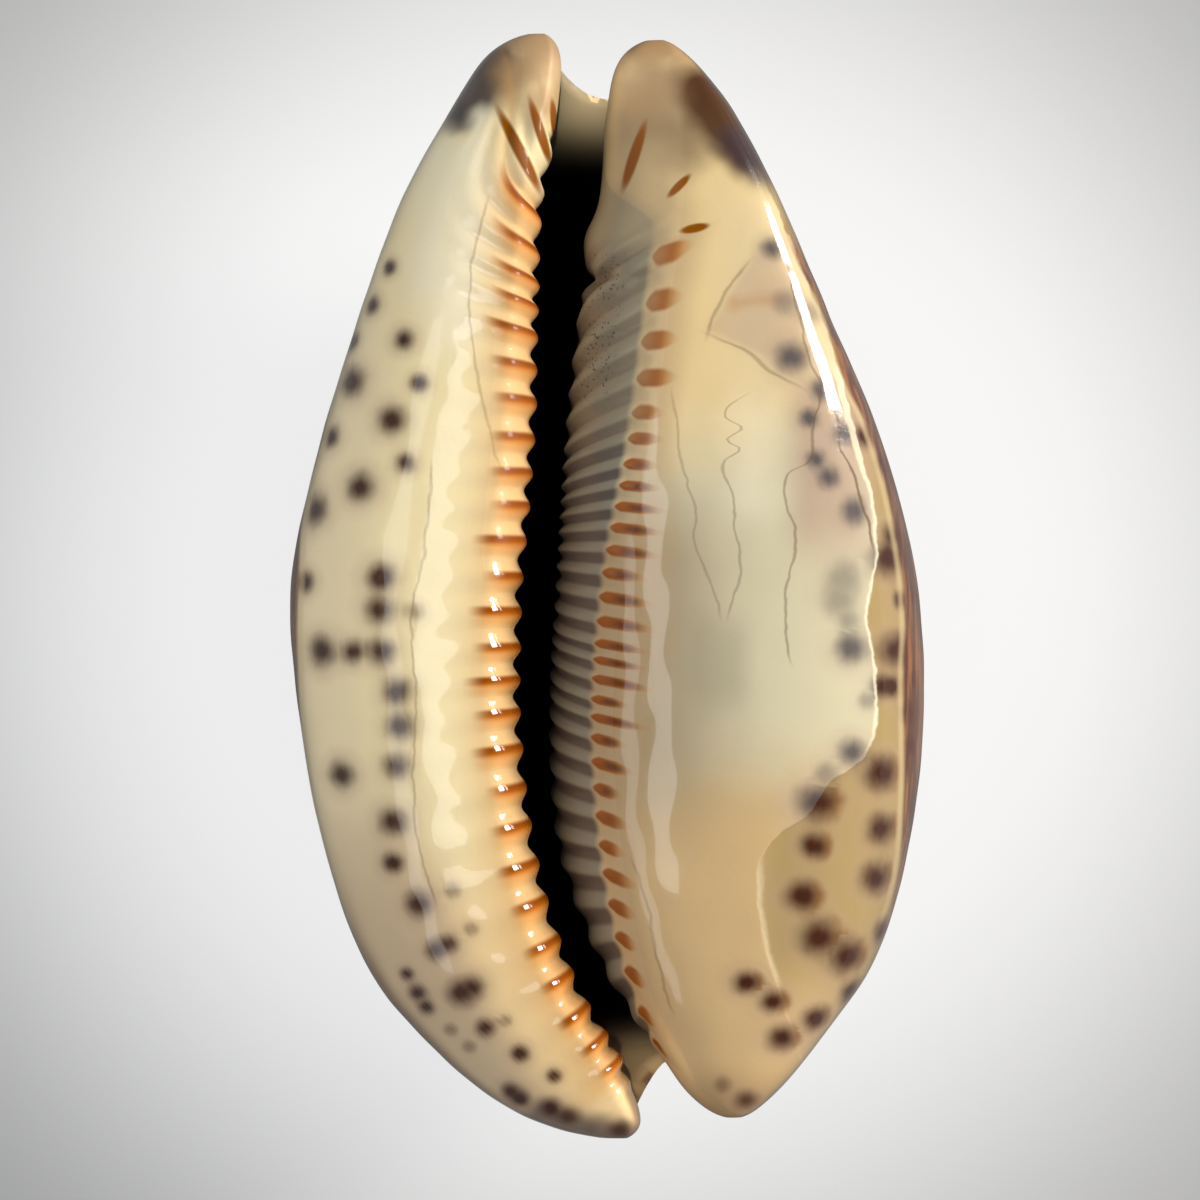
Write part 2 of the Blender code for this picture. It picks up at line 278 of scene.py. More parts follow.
def raiseTeeth(loops, places, f):
    normals = outwardNormals(loops)
    left, right = lipDistances(loops, places)
    along = loops[:, :, 1]
    rows = {name: throughStations(values, places)[:, None]
            for name, values in teeth.items() if np.size(values) == stations}
    leftLean = rows["leftLean"] * (np.clip(left, -1, 6) - 1)
    leftCount = toothCount(teeth["leftPlaces"], along - leftLean)
    rightLean = np.where(right > 0, rows["barLean"] * np.minimum(right, 5),
                         -rows["ribLean"] * np.maximum(right, -6))
    rightCount = toothCount(teeth["rightPlaces"], along - rightLean)

    turn = 2 * math.pi * (leftCount + rows["leftShift"])
    leftWave = (0.5 + 0.5 * np.cos(turn)) ** rows["leftSharpness"] - 0.35
    inside = smoothStep(-3.0, -0.6, left)
    spread = (np.maximum(left, 0) / rows["leftSpread"]) ** 2
    outside = (1 - smoothStep(3.5, 5.5, left)) / (1 + spread)
    ends = smoothStep(-0.4, 0.6, leftCount) * (1 - smoothStep(28.0, 28.8, leftCount))
    ends = ends * (1 - smoothStep(25.8, 28.2, along))
    leftHeight = teeth["leftHeight"] * leftWave * inside * outside * ends

    rightWave = (0.5 + 0.5 * np.cos(2 * math.pi * rightCount)) ** 1.1 - 0.45
    base = 1 - smoothStep(-0.3, 1.0, right)
    wall = smoothStep(-9.5, -6.5, right)
    rightEnds = smoothStep(-0.4, 0.6, rightCount) * (1 - smoothStep(29.6, 30.6, rightCount))
    rightHeight = teeth["rightHeight"] * rightWave * base * wall * rightEnds

    x, y = loops[:, :, 0], loops[:, :, 1]
    waves = (np.sin(1.3 * x + 0.5 * y) + np.sin(0.9 * y - 0.7 * x + 1.0)
             + np.sin(1.9 * y + 0.4 * x + 2.0) + np.sin(2.3 * x - 1.1 * y + 4.0))
    waves = waves * np.minimum(np.sin(math.pi * places) / f["calmEnds"], 1)[:, None]
    rise = leftHeight + rightHeight + f["wobble"] * waves / 2
    rise[[0, -1]] = 0.0     # so that the outside and the inside meet at both rims
    lifted = loops + normals * rise[:, :, None]
    fields = dict(leftCount=leftCount, leftOut=left, rightCount=rightCount, rightOut=right,
                  streakShare=left / rows["streakLength"], barShare=right / rows["barLength"])
    return lifted, fields


def rowPlaces(f):
    even = np.linspace(0, 1, f["rows"] + 1)
    crowded = even - f["endCrowding"] * np.sin(2 * math.pi * even) / (2 * math.pi)
    return np.arccos(np.clip(1 - 2 * crowded, -1, 1)) / math.pi


def sectionFields(loops, places):
    # what the finish needs to know of each point's place on the section
    columns = np.arange(loops.shape[1])
    isLeft = (columns <= columnOf("keel")) | (columns >= columnOf("keelInside"))
    isInside = (columns > columnOf("columellaFoot")) & (columns < columnOf("underLabralLip"))
    upward = np.abs(outwardNormals(loops)[:, :, 2])
    onBase = (columns <= columnOf("leftOutline")) | (columns >= columnOf("rightOutline"))
    return dict(
        leftSide=np.broadcast_to(isLeft * 1.0, upward.shape),
        inside=np.broadcast_to(isInside * 1.0, upward.shape),
        facing=np.where(onBase, upward, -upward),
    )


def restHeight(height, f):
    # the back flattened softly where it would pass through the floor
    return (height + np.sqrt(height**2 + f["restRounding"] ** 2)) / 2


def meshPiece(name, bm):
    mesh = bpy.data.meshes.new(name)
    bm.to_mesh(mesh)
    bm.free()
    piece = bpy.data.objects.new(name, mesh)
    bpy.context.collection.objects.link(piece)
    return piece


def buildShell(f):
    places = rowPlaces(f)
    smooth = sectionLoops(places, f)
    loops, fields = raiseTeeth(smooth, places, f)
    fields.update(sectionFields(smooth, places))
    low, high = (np.array(corner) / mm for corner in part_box("shell"))
    height = loops[:, :, 2] - smooth[:, :, 2].min() - f["restSpotDepth"]
    loops[:, :, 2] = restHeight(height, f) - restHeight(-f["restSpotDepth"], f)
    loops = np.clip(loops, low, high)
    rowCount, columnCount, _ = loops.shape
    bm = bmesh.new()
    bmesh.ops.create_grid(bm, x_segments=columnCount, y_segments=rowCount - 1, size=0.5)
    layers = {name: bm.verts.layers.float.new(name) for name in fields}
    for vertex in bm.verts:
        column = round((vertex.co.x + 0.5) * columnCount) % columnCount
        row = round((vertex.co.y + 0.5) * (rowCount - 1))
        vertex.co = loops[row, column] * mm
        for name, layer in layers.items():
            vertex[layer] = fields[name][row, column]
    bmesh.ops.remove_doubles(bm, verts=bm.verts, dist=f["weld"] * mm)
    bmesh.ops.dissolve_degenerate(bm, edges=bm.edges, dist=f["sliver"] * mm)
    bmesh.ops.recalc_face_normals(bm, faces=bm.faces)
    piece = meshPiece("cowrie", bm)
    piece.data.shade_smooth()
    triangles = sum(len(face.vertices) - 2 for face in piece.data.polygons)
    print("shell built:", triangles, "triangles")
    return piece


shell = buildShell(shellForm)


# The markings are laid out in mm as they look from a point high above the lips.
markingEye = (-0.46, -0.81, 285.7)
lipLevel = 25.6

# Each group has its strength, how grey it is, how much orange shows at its right side,
# its usual radius, and places as (x, y) or (x, y, radius).
spots = {
    "leftBase": dict(strength=0.96, grey=0.15, rust=0.25, radius=0.86, places=(
        (-11.8, 14.2, 0.62), (-10.9, 11.7, 0.55), (-12.5, 9.6), (-11.7, 7.1, 0.6), (-14.3, 5.7, 0.9),
        (-13.1, 0.5, 0.9), (-13.2, -1.4, 0.9), (-14.7, -3.8, 0.7), (-13.1, -3.8),
        (-12.2, -6.1), (-12.0, -8.1), (-12.2, -10.4, 0.8), (-12.4, -13.6), (-12.4, -16.0, 0.66),
        (-10.9, -18.3), (-9.9, -21.0, 0.65), (-9.2, -20.7, 0.6), (-8.5, -23.5), (-7.8, -23.2, 0.75),
        (-7.1, -25.5, 0.6), (-5.1, -27.0, 0.55), (-3.1, -28.3, 0.45), (-5.6, -29.2, 0.6),
        (-5.1, -29.6, 0.65), (-3.3, -30.1, 0.65))),
    "small": dict(strength=0.5, grey=0.1, rust=0.5, radius=0.42, places=(
        (-11.2, -1.5, 0.55), (-9.0, -17.6, 0.5), (-7.9, -19.8), (-5.9, -25.1, 0.35), (-9.1, -25.6),
        (-8.0, -26.6), (-12.9, 20.0, 0.45),
        (6.6, -28.8, 0.5))),
    "leftMargin": dict(strength=0.94, grey=0.5, rust=0.1, radius=0.95, places=(
        (-13.6, 16.2, 0.6), (-14.7, 14.1, 0.6), (-14.8, 11.8), (-16.0, 8.6, 0.7), (-16.9, 4.4),
        (-17.5, 0.2, 0.7), (-16.5, -3.8), (-15.4, -10.9, 0.85), (-11.0, -23.5, 0.6),
        (-10.5, -24.3, 0.55), (-12.6, 18.4, 0.5), (-11.6, -22.4, 0.45))),
    "underVeil": dict(strength=0.9, grey=0.7, rust=0.0, radius=0.85, places=(
        (9.5, 19.5, 0.65), (10.6, 13.2, 0.95), (12.3, 11.3, 0.7), (11.6, 9.7, 0.6), (13.6, 8.8, 0.75),
        (12.0, 7.3, 0.6), (12.8, 6.3, 0.7), (14.2, 4.3), (14.0, -3.6, 1.0), (14.1, -9.6, 0.85))),
    "faintVeil": dict(strength=0.5, grey=0.7, rust=0.0, radius=1.1, places=(
        (13.6, 0.4), (13.3, -0.8), (13.9, -2.0, 0.7), (11.7, 15.8, 0.8), (10.3, 16.4, 0.8),
        (12.6, -10.9, 0.8), (15.0, -6.6, 0.6))),
    "rightMargin": dict(strength=0.98, grey=0.0, rust=1.0, radius=1.12, wide=1.2, places=(
        (14.8, 8.6, 0.7), (15.9, 7.0, 0.7), (16.4, 2.9, 0.8), (16.2, 1.6), (16.9, -0.8, 0.6),
        (16.6, -3.7), (16.4, -5.8, 0.7), (15.8, -5.8, 0.7), (15.8, -10.8), (15.8, -14.0, 1.0),
        (15.5, -16.8, 1.05), (12.1, -12.5), (11.9, -15.0, 0.8), (11.2, -17.9, 0.95), (12.2, -20.3),
        (13.8, -21.4), (15.8, -19.9, 0.8), (14.0, -23.4, 0.8), (12.0, -25.0, 0.85),
        (10.1, -26.1, 0.8), (8.0, -22.9, 0.72), (9.5, -24.0, 0.7))),
    "backTips": dict(strength=0.86, grey=0.0, rust=0.4, radius=0.5, wide=1.3, places=(
        (8.0, -29.7, 0.6), (0.7, -31.4, 0.6), (-2.3, -30.6, 0.6))),
    "rightFlank": dict(strength=0.75, grey=0.2, rust=0.3, radius=0.6, places=(
        (17.7, -0.6), (17.6, -5.3), (17.3, -7.3, 0.7), (17.5, -9.2), (17.6, -13.0, 0.7))),
}


def planPlaces(points):
    # where points appear on the lips' level, in mm, seen from the marking eye
    x, y, z = markingEye
    reach = (z - lipLevel) / (z - points[:, 2])
    return x + (points[:, 0] - x) * reach, y + (points[:, 1] - y) * reach


def spotFields(piece, points):
    bm = bmesh.new()
    bm.from_mesh(piece.data)
    tree = BVHTree.FromBMesh(bm)
    bm.free()
    eye = Vector(markingEye) * mm
    # close spots run together: the distance to them is a soft minimum, at most farthest
    fields = {name: np.zeros(len(points)) for name in ("spotSide", "spotStrength", "spotGrey")}
    farthest, sharpness = 4.0, 5.0
    nearest = np.full(len(points), farthest)
    pull = np.full(len(points), math.exp(-sharpness * farthest))
    for group in spots.values():
        for x, y, *size in group["places"]:
            radius = size[0] if size else group["radius"]
            toward = Vector((x, y, lipLevel)) * mm - eye
            centre = tree.ray_cast(eye, toward.normalized())[0]
            centre = centre or tree.find_nearest(Vector((x, y, 20)) * mm)[0]
            offset = (points - np.array(centre) / mm) * (1 / group.get("wide", 1.0), 1.0, 0.5)
            distance = np.linalg.norm(offset, axis=1) / radius
            pull += np.exp(-sharpness * distance)
            closer = distance < nearest
            nearest[closer] = distance[closer]
            fields["spotSide"][closer] = group["rust"] * offset[closer, 0] / radius
            fields["spotStrength"][closer] = group["strength"]
            fields["spotGrey"][closer] = group["grey"]
    fields["spotNear"] = -np.log(pull) / sharpness
    return fields


# The right edge of the callus that half hides the spots on the right base, where a milky painted
# reflection lies.
callusEdge = ((23.1, 9.2), (18.8, 11.0), (15.2, 12.4), (12.3, 13.4), (9.5, 14.2), (7.9, 14.6),
              (5.8, 15.2), (3.6, 15.5), (1.6, 15.6), (0.2, 15.3), (-0.9, 15.1), (-2.0, 15.0),
              (-3.9, 15.4), (-5.2, 15.5), (-6.9, 15.6), (-8.2, 15.5), (-9.0, 15.3), (-10.2, 14.5),
              (-11.3, 12.9), (-13.3, 11.4), (-14.2, 10.1), (-15.4, 9.0), (-19.2, 8.9), (-23.0, 9.8))


def writeFields(piece, fields):
    for name, values in fields.items():
        attribute = piece.data.attributes.new(name, "FLOAT", "POINT")
        attribute.data.foreach_set("value", np.ascontiguousarray(values, dtype=np.float32))


def markShell(piece):
    points = np.empty(len(piece.data.vertices) * 3)
    piece.data.vertices.foreach_get("co", points)
    points = points.reshape(-1, 3) / mm
    planX, planY = planPlaces(points)
    writeFields(piece, dict(planX=planX, planY=planY, **spotFields(piece, points)))
    print("markings placed:", sum(len(group["places"]) for group in spots.values()), "spots")


markShell(shell)


def tint(red, green, blue):
    # a colour as a paint chart gives it, in the linear values that shaders take
    channels = (red / 255, green / 255, blue / 255)
    return (*(c / 12.92 if c <= 0.04045 else ((c + 0.055) / 1.055) ** 2.4 for c in channels), 1.0)


# The finish: a glaze whose colours follow the markings.
enamel = dict(
    lipCream=tint(247, 227, 176), leftMargin=tint(249, 228, 184), lowMargin=tint(208, 182, 146),
    lowFlank=tint(118, 84, 62), lowCream=tint(238, 206, 152), frontCream=tint(226, 199, 145),
    middleGrey=tint(206, 194, 156), backTan=tint(204, 172, 124), marginGold=tint(172, 146, 96),
    tipBrown=tint(144, 102, 66), lipShade=tint(162, 140, 104), reflectionBlue=(0.62, 0.80, 0.92, 1),
    reflectionAmount=0.06, reflectionGrey=tint(140, 134, 112),
    spotBrown=tint(64, 28, 16), spotGrey=tint(56, 44, 46), spotRust=tint(140, 80, 6),
    spotOlive=tint(92, 78, 56), spotHalo=tint(176, 146, 122),
    smearBrown=tint(66, 30, 12), smearPurple=tint(66, 54, 58), smearShade=tint(118, 96, 68),
    smearTan=tint(168, 136, 98), callusShade=tint(182, 150, 122), hornShade=tint(144, 120, 92),
    highlightCream=tint(252, 240, 206),
    toothOrange=tint(192, 104, 0), toothDark=tint(140, 68, 0), toothAmber=tint(222, 140, 40),
    toothPeach=tint(216, 162, 96), barOrange=tint(146, 78, 8), barAmber=tint(190, 134, 70),
    barPurple=tint(84, 46, 30), barGround=tint(184, 154, 116), ribPale=tint(130, 125, 110),
    ribGrooveShade=tint(88, 79, 74), wallShade=tint(34, 30, 28), fossulaAndShade=tint(148, 134, 106),
    insideTan=tint(222, 186, 138), hollowShadow=tint(10, 6, 6), markOrange=tint(134, 74, 0),
    hairline=tint(104, 80, 56), highlightLine=tint(226, 208, 170),
    flankBrown=tint(84, 36, 24), flankTan=tint(150, 92, 56), flankLine=tint(226, 200, 150),
    backFawn=tint(178, 152, 120), backBrown=tint(104, 62, 38), backPale=tint(204, 186, 156),
    backFlank=tint(128, 78, 56),
    roughness=(0.12, 0.2), coatRoughness=0.03, ior=1.5, coatIor=1.55, coat=1.0, specular=0.3,
    dullRoughness=0.5, bumpDepth=0.00005,
)
span = 64.0     # the length that the drawn curves are shares of, in mm


def newNode(kind, *values):
    # a node in the tree that these sockets belong to
    tree = next(value.id_data for value in values if isinstance(value, bpy.types.NodeSocket))
    return tree.nodes.new("ShaderNode" + kind)


def feed(socket, value):
    if isinstance(value, bpy.types.NodeSocket):
        socket.id_data.links.new(value, socket)
    else:
        socket.default_value = value


def calc(operation, *values):
    node = newNode("Math", *values)
    node.operation = operation
    for socket, value in zip(node.inputs, values):
        feed(socket, value)
    return node.outputs[0]


def fade(value, low, high):
    # 0 at low and 1 at high, eased; low may be the larger
    node = newNode("MapRange", value)
    node.interpolation_type = "SMOOTHSTEP"
    for name, entry in (("Value", value), ("From Min", low), ("From Max", high)):
        feed(node.inputs[name], entry)
    return node.outputs[0]


def band(value, low, high, soft):
    rise = fade(value, low - soft, low + soft)
    fall = fade(value, high + soft, high - soft)
    return product(rise, fall)


def product(*masks):
    result = masks[0]
    for mask in masks[1:]:
        result = calc("MULTIPLY", result, mask)
    return result


def paint(amount, below, above):
    node = newNode("Mix", amount, below, above)
    node.data_type = "RGBA"
    for index, entry in ((0, amount), (6, below), (7, above)):
        feed(node.inputs[index], entry)
    return node.outputs[2]


def layer(colour, tone, *masks):
    # one of the enamel's colours laid over another colour where all the masks are
    return paint(product(*masks), colour, enamel[tone])


def scaled(vector, factors):
    node = newNode("VectorMath", vector)
    node.operation = "MULTIPLY"
    feed(node.inputs[0], vector)
    node.inputs[1].default_value = factors
    return node.outputs[0]


def noise(place, scale, detail=2.0):
    node = newNode("TexNoise", place)
    feed(node.inputs["Vector"], place)
    node.inputs["Scale"].default_value = scale
    node.inputs["Detail"].default_value = detail
    return node.outputs["Fac"]


def waver(place, scale, detail, reach):
    # noise that runs from -reach / 2 to reach / 2
    return calc("MULTIPLY_ADD", noise(place, scale, detail), reach, -reach / 2)


def fromTooth(count):
    # how far a place is from the middle of the nearest tooth, as a share of their distance
    return calc("SUBTRACT", count, calc("ROUND", count))


def ofTooth(count, seed):
    # a number from 0 to 1 that stays the same over one tooth
    node = newNode("TexWhiteNoise", count)
    node.noise_dimensions = "1D"
    feed(node.inputs["W"], calc("ADD", calc("ROUND", count), seed))
    return node.outputs["Value"]


def drawnCurve(along, points):
    # how far across a drawn curve lies at this place along, through (along, across) points
    node = newNode("FloatCurve", along)
    curve = node.mapping.curves[0]
    shares = sorted((y / span + 0.5, x / span + 0.5) for y, x in points)
    curve.points[0].location = shares[0]
    curve.points[1].location = shares[-1]
    for share in shares[1:-1]:
        curve.points.new(*share)
    node.mapping.update()
    feed(node.inputs["Value"], calc("MULTIPLY_ADD", along, 1 / span, 0.5))
    return calc("MULTIPLY_ADD", node.outputs[0], span, -span / 2)


def readFields(tree):
    fields = {}
    for attribute in shell.data.attributes:
        if attribute.data_type == "FLOAT" and attribute.domain == "POINT":
            node = tree.nodes.new("ShaderNodeAttribute")
            node.attribute_name = attribute.name
            fields[attribute.name] = node.outputs["Fac"]
    coordinates = tree.nodes.new("ShaderNodeTexCoord")
    fields["place"] = scaled(coordinates.outputs["Object"], (1000, 1000, 1000))
    return fields


def rightHalf(at):
    return calc("SUBTRACT", 1.0, at["leftSide"])


def groundColour(at):
    x, y = at["planX"], at["planY"]
    softY = calc("ADD", y, waver(at["place"], 0.16, 2.0, 6.0))
    colour = paint(fade(softY, -14.0, -7.0), enamel["backTan"], enamel["middleGrey"])
    colour = layer(colour, "frontCream", fade(softY, 5.0, 11.0))
    colour = layer(colour, "lipShade", fade(x, 9.5, 3.0), fade(y, 8.0, 1.0), fade(y, -17.5, -9.0), 0.9)
    left = paint(fade(softY, -13.0, -22.0), enamel["lipCream"], enamel["lowCream"])
    left = layer(left, "leftMargin", fade(at["leftOut"], 6.0, 11.0), fade(softY, 20.0, 12.0))
    left = layer(left, "lowMargin", fade(softY, -9.0, -21.0), fade(at["leftOut"], 3.8, 7.0))
    left = layer(left, "lowFlank", fade(softY, -17.0, -24.0), fade(at["facing"], 0.72, 0.35), 0.7)
    return paint(at["leftSide"], colour, left)


def addTips(at, colour):
    y = at["planY"]
    colour = layer(colour, "tipBrown", fade(y, 28.0, 31.5), fade(noise(at["place"], 0.5), 0.0, 0.5), 0.8)
    return layer(colour, "tipBrown", fade(y, -27.0, -31.0), rightHalf(at), 0.6)


def callusMasks(at):
    # how far past the callus's crisp right edge a place lies, and the mask of the milky painted
    # reflection on the callus
    x, y = at["planX"], at["planY"]
    beyond = calc("SUBTRACT", x, drawnCurve(y, callusEdge))
    beyond = calc("MULTIPLY_ADD", noise(at["place"], 0.9, 3.0), 0.5, calc("SUBTRACT", beyond, 0.25))
    lowEdge = fade(y, -14.6, -14.2)
    inside = product(fade(beyond, 0.05, -0.05), lowEdge, fade(at["facing"], 0.1, 0.3))
    softLow = calc("MAXIMUM", fade(y, -13.0, -9.0), fade(x, 8.6, 11.5))
    softTop = calc("MAXIMUM", fade(y, 12.5, 9.5), fade(x, 5.0, 8.0))
    callusReflection = product(inside, softLow, softTop, fade(y, 24.5, 21.0), fade(x, 2.2, 5.0))
    return beyond, callusReflection


smears = (
    # one end's x and y, the other's, radius, softness, colour and strength; the pale cream ones are
    # painted highlights and sheen
    (0.9, 27.5, 2.2, 21.6, 2.5, 1.5, "hornShade", 0.62),
    (3.2, 28.6, 4.6, 25.6, 1.5, 1.2, "hornShade", 0.66),
    (5.2, 28.6, 7.9, 25.3, 1.45, 0.75, "smearBrown", 0.96),
    (7.4, 25.6, 8.9, 23.9, 1.0, 0.8, "smearPurple", 0.85),
    (1.8, 27.0, 4.4, 26.0, 1.3, 1.6, "smearShade", 0.55),
    (-3.4, 30.4, -3.0, 28.6, 0.7, 0.7, "smearTan", 0.8),
    (3.2, 28.5, 1.6, 27.5, 1.1, 1.2, "smearTan", 0.6),
    (-6.3, 30.1, -8.3, 27.2, 1.15, 0.55, "smearPurple", 0.93),
    (-8.4, 27.5, -9.2, 26.6, 0.5, 0.6, "smearPurple", 0.6),
    (-7.3, 27.0, -7.9, 24.4, 0.6, 0.7, "highlightCream", 0.85),
    (-5.0, 29.8, -6.0, 28.6, 0.6, 0.9, "smearShade", 0.7),
    (-5.6, 29.6, -4.4, 27.4, 1.1, 0.9, "smearTan", 0.7),
    (-7.7, 23.6, -8.8, 15.0, 1.4, 1.6, "highlightCream", 0.75),
    (-9.6, 24.8, -10.4, 17.5, 1.3, 1.3, "highlightCream", 0.7),
    (-4.0, 29.4, -3.7, 27.8, 0.6, 0.6, "smearTan", 0.85),
    (8.4, 9.5, 8.4, 5.0, 1.2, 1.8, "highlightCream", 0.35),
    (-3.8, -30.5, 1.2, -31.9, 0.75, 0.55, "smearPurple", 0.85),
    (-3.6, 31.2, -5.4, 29.6, 0.6, 0.7, "smearTan", 0.8),
    (7.4, 16.3, 9.6, 16.6, 0.3, 0.5, "barAmber", 0.5),
    (8.6, -31.0, 10.6, -29.4, 0.5, 0.7, "smearShade", 0.6),
)
topMarks = (
    # middle, direction, half length and half width
    ((-3.1, 26.8), (0.1, -1), (1.25, 0.2)),
    ((-3.9, 26.2), (1, -3.1), (1.9, 0.27)),
    ((-5.1, 25.1), (1, -1.95), (2.6, 0.33)),
    ((1.5, 24.8), (1.2, 3.6), (1.95, 0.3)),
    ((4.1, 23.1), (1.2, 1.2), (0.85, 0.22)),
    ((5.0, 20.65), (1.4, 0.3), (0.8, 0.24)),
)


def turned(at, middle, toward):
    # distances along and across a direction, from a middle
    length = math.hypot(*toward)
    ux, uy = toward[0] / length, toward[1] / length
    right = calc("SUBTRACT", at["planX"], middle[0])
    up = calc("SUBTRACT", at["planY"], middle[1])
    along = calc("ADD", product(right, ux), product(up, uy))
    across = calc("SUBTRACT", product(up, ux), product(right, uy))
    return along, across, length


def addSmears(at, colour):
    ragged = waver(at["place"], 0.6, 1.0, 0.8)
    facing = fade(at["facing"], -0.1, 0.1)
    for ax, ay, bx, by, radius, soft, tone, strength in smears:
        middle = ((ax + bx) / 2, (ay + by) / 2)
        along, across, length = turned(at, middle, (bx - ax, by - ay))
        past = calc("MAXIMUM", calc("SUBTRACT", calc("ABSOLUTE", along), length / 2), 0.0)
        away = calc("SQRT", calc("ADD", product(past, past), product(across, across)))
        away = calc("ADD", away, ragged)
        colour = layer(colour, tone, fade(away, radius + soft, radius - soft), facing, strength)
    return colour


def addTopMarks(at, colour):
    for middle, toward, halves in topMarks:
        along, across, _ = turned(at, middle, toward)
        lengths = [calc("DIVIDE", value, half) for value, half in zip((along, across), halves)]
        squares = [product(value, value) for value in lengths]
        colour = layer(colour, "markOrange", fade(calc("ADD", *squares), 1.7, 0.5))
    return colour


def addSpots(at, colour):
    # a pinkish halo, rust at the right side, then a core that is olive at its left side
    near = calc("ADD", at["spotNear"], waver(at["place"], 0.8, 2.0, 0.5))
    halo = product(fade(near, 2.4, 0.8), at["spotStrength"], 0.4)
    colour = layer(colour, "spotHalo", halo)
    rust = product(fade(near, 1.45, 0.8), fade(at["spotSide"], 0.2, 1.0), at["spotStrength"])
    colour = layer(colour, "spotRust", rust, 0.65)
    core = paint(at["spotGrey"], enamel["spotBrown"], enamel["spotGrey"])
    core = paint(fade(at["spotSide"], -1.1, -0.3), enamel["spotOlive"], core)
    mask = product(fade(near, 1.5, 0.2), at["spotStrength"])
    return paint(mask, colour, core)


flankEdges = (
    # which side lies beyond the curve, lowest and highest y, and the curve as (y, x)
    (1, (-19.0, 19.5), ((20.0, 10.3), (18.8, 10.8), (16.1, 12.2), (11.6, 13.7), (9.4, 14.8), (2.7, 16.6),
        (-2.3, 17.1), (-5.1, 17.0), (-9.5, 17.05), (-12.6, 17.0), (-17.0, 16.6), (-19.9, 15.7))),
    (-1, (-13.0, 12.0), ((12.0, -15.6), (8.6, -16.4), (4.4, -17.5), (1.0, -17.75), (-3.7, -17.85),
        (-9.6, -17.5), (-14.0, -16.9))),
)


def addFlanks(at, colour):
    # the sides of the shell, seen from below as narrow streaked brown strips
    x, y = at["planX"], at["planY"]
    streaks = noise(scaled(at["place"], (1.0, 0.12, 1.0)), 1.6, 3.0)
    brown = paint(fade(streaks, 0.42, 0.66), enamel["flankBrown"], enamel["flankTan"])
    sideOn = fade(at["facing"], 0.14, 0.02)
    ragged = calc("ADD", y, waver(at["place"], 0.35, 3.0, 8.0))
    for side, ends, points in flankEdges:
        half = at["leftSide"] if side < 0 else rightHalf(at)
        beyond = product(calc("SUBTRACT", x, drawnCurve(y, points)), side)
        reach = product(band(ragged, *ends, 3.0), half)
        colour = layer(colour, "flankLine", band(beyond, -0.26, 0.0, 0.14), reach, 0.45)
        flank = calc("MAXIMUM", fade(beyond, -0.05, 0.2), sideOn)
        colour = paint(product(flank, reach, 0.9), colour, brown)
    return colour


def addLeftTeeth(at, colour):
    # streaks with a sharp front edge and a soft back edge, on peach that fades over the lip
    phase = fromTooth(at["leftCount"])
    share, out = at["streakShare"], at["leftOut"]
    vary = ofTooth(at["leftCount"], 3.0)
    reach = calc("MULTIPLY_ADD", vary, 0.35, 0.85)
    along = product(fade(out, -1.4, 0.1), fade(share, reach, calc("SUBTRACT", reach, 0.55)))
    wide = calc("MULTIPLY_ADD", share, 0.16, -0.36)
    across = product(fade(phase, wide, -0.06), fade(phase, 0.18, 0.04))
    teethOnly = band(at["leftCount"], 0.3, 26.5, 0.3)
    peach = product(fade(out, 4.4, 0.8), fade(out, -2.5, -0.5), teethOnly, 0.7)
    colour = layer(colour, "toothPeach", peach)
    colour = layer(colour, "toothAmber", fade(phase, -0.62, -0.25), fade(phase, 0.16, 0.05), along,
                   teethOnly, 0.5)
    orange = paint(fade(phase, -0.2, 0.02), enamel["toothOrange"], enamel["toothDark"])
    return paint(product(along, across, teethOnly), colour, orange)


def addRightTeeth(at, colour):
    # bars that start round at the lip, orange with a purple core, and thin out over the base
    phase = fromTooth(at["rightCount"])
    share, out = at["barShare"], at["rightOut"]
    vary = ofTooth(at["rightCount"], 7.0)
    reach = calc("MULTIPLY_ADD", vary, -0.5, 1.2)
    progress = calc("DIVIDE", share, reach)
    start = calc("SQRT", fade(out, -0.10, 0.45))
    width = product(start, fade(progress, 1.3, 0.5), 0.25)
    off = calc("ABSOLUTE", phase)
    across = fade(off, calc("ADD", width, 0.06), calc("SUBTRACT", width, 0.07))
    teethOnly = band(at["rightCount"], -0.4, 29.4, 0.1)
    along = product(fade(progress, 1.15, 0.5), fade(out, -0.12, 0.04))
    colour = layer(colour, "barGround", fade(share, 1.6, 0.7), fade(out, -0.4, 0.2), teethOnly, 0.6)
    core = product(fade(off, 0.2, 0.05), band(progress, 0.3, 0.8, 0.15),
                   band(at["planY"], -13.0, 8.0, 3.0), 0.75)
    bar = paint(fade(progress, 0.35, 1.0), enamel["barOrange"], enamel["barAmber"])
    bar = layer(bar, "barPurple", core)
    return paint(product(across, along, teethOnly), colour, bar)


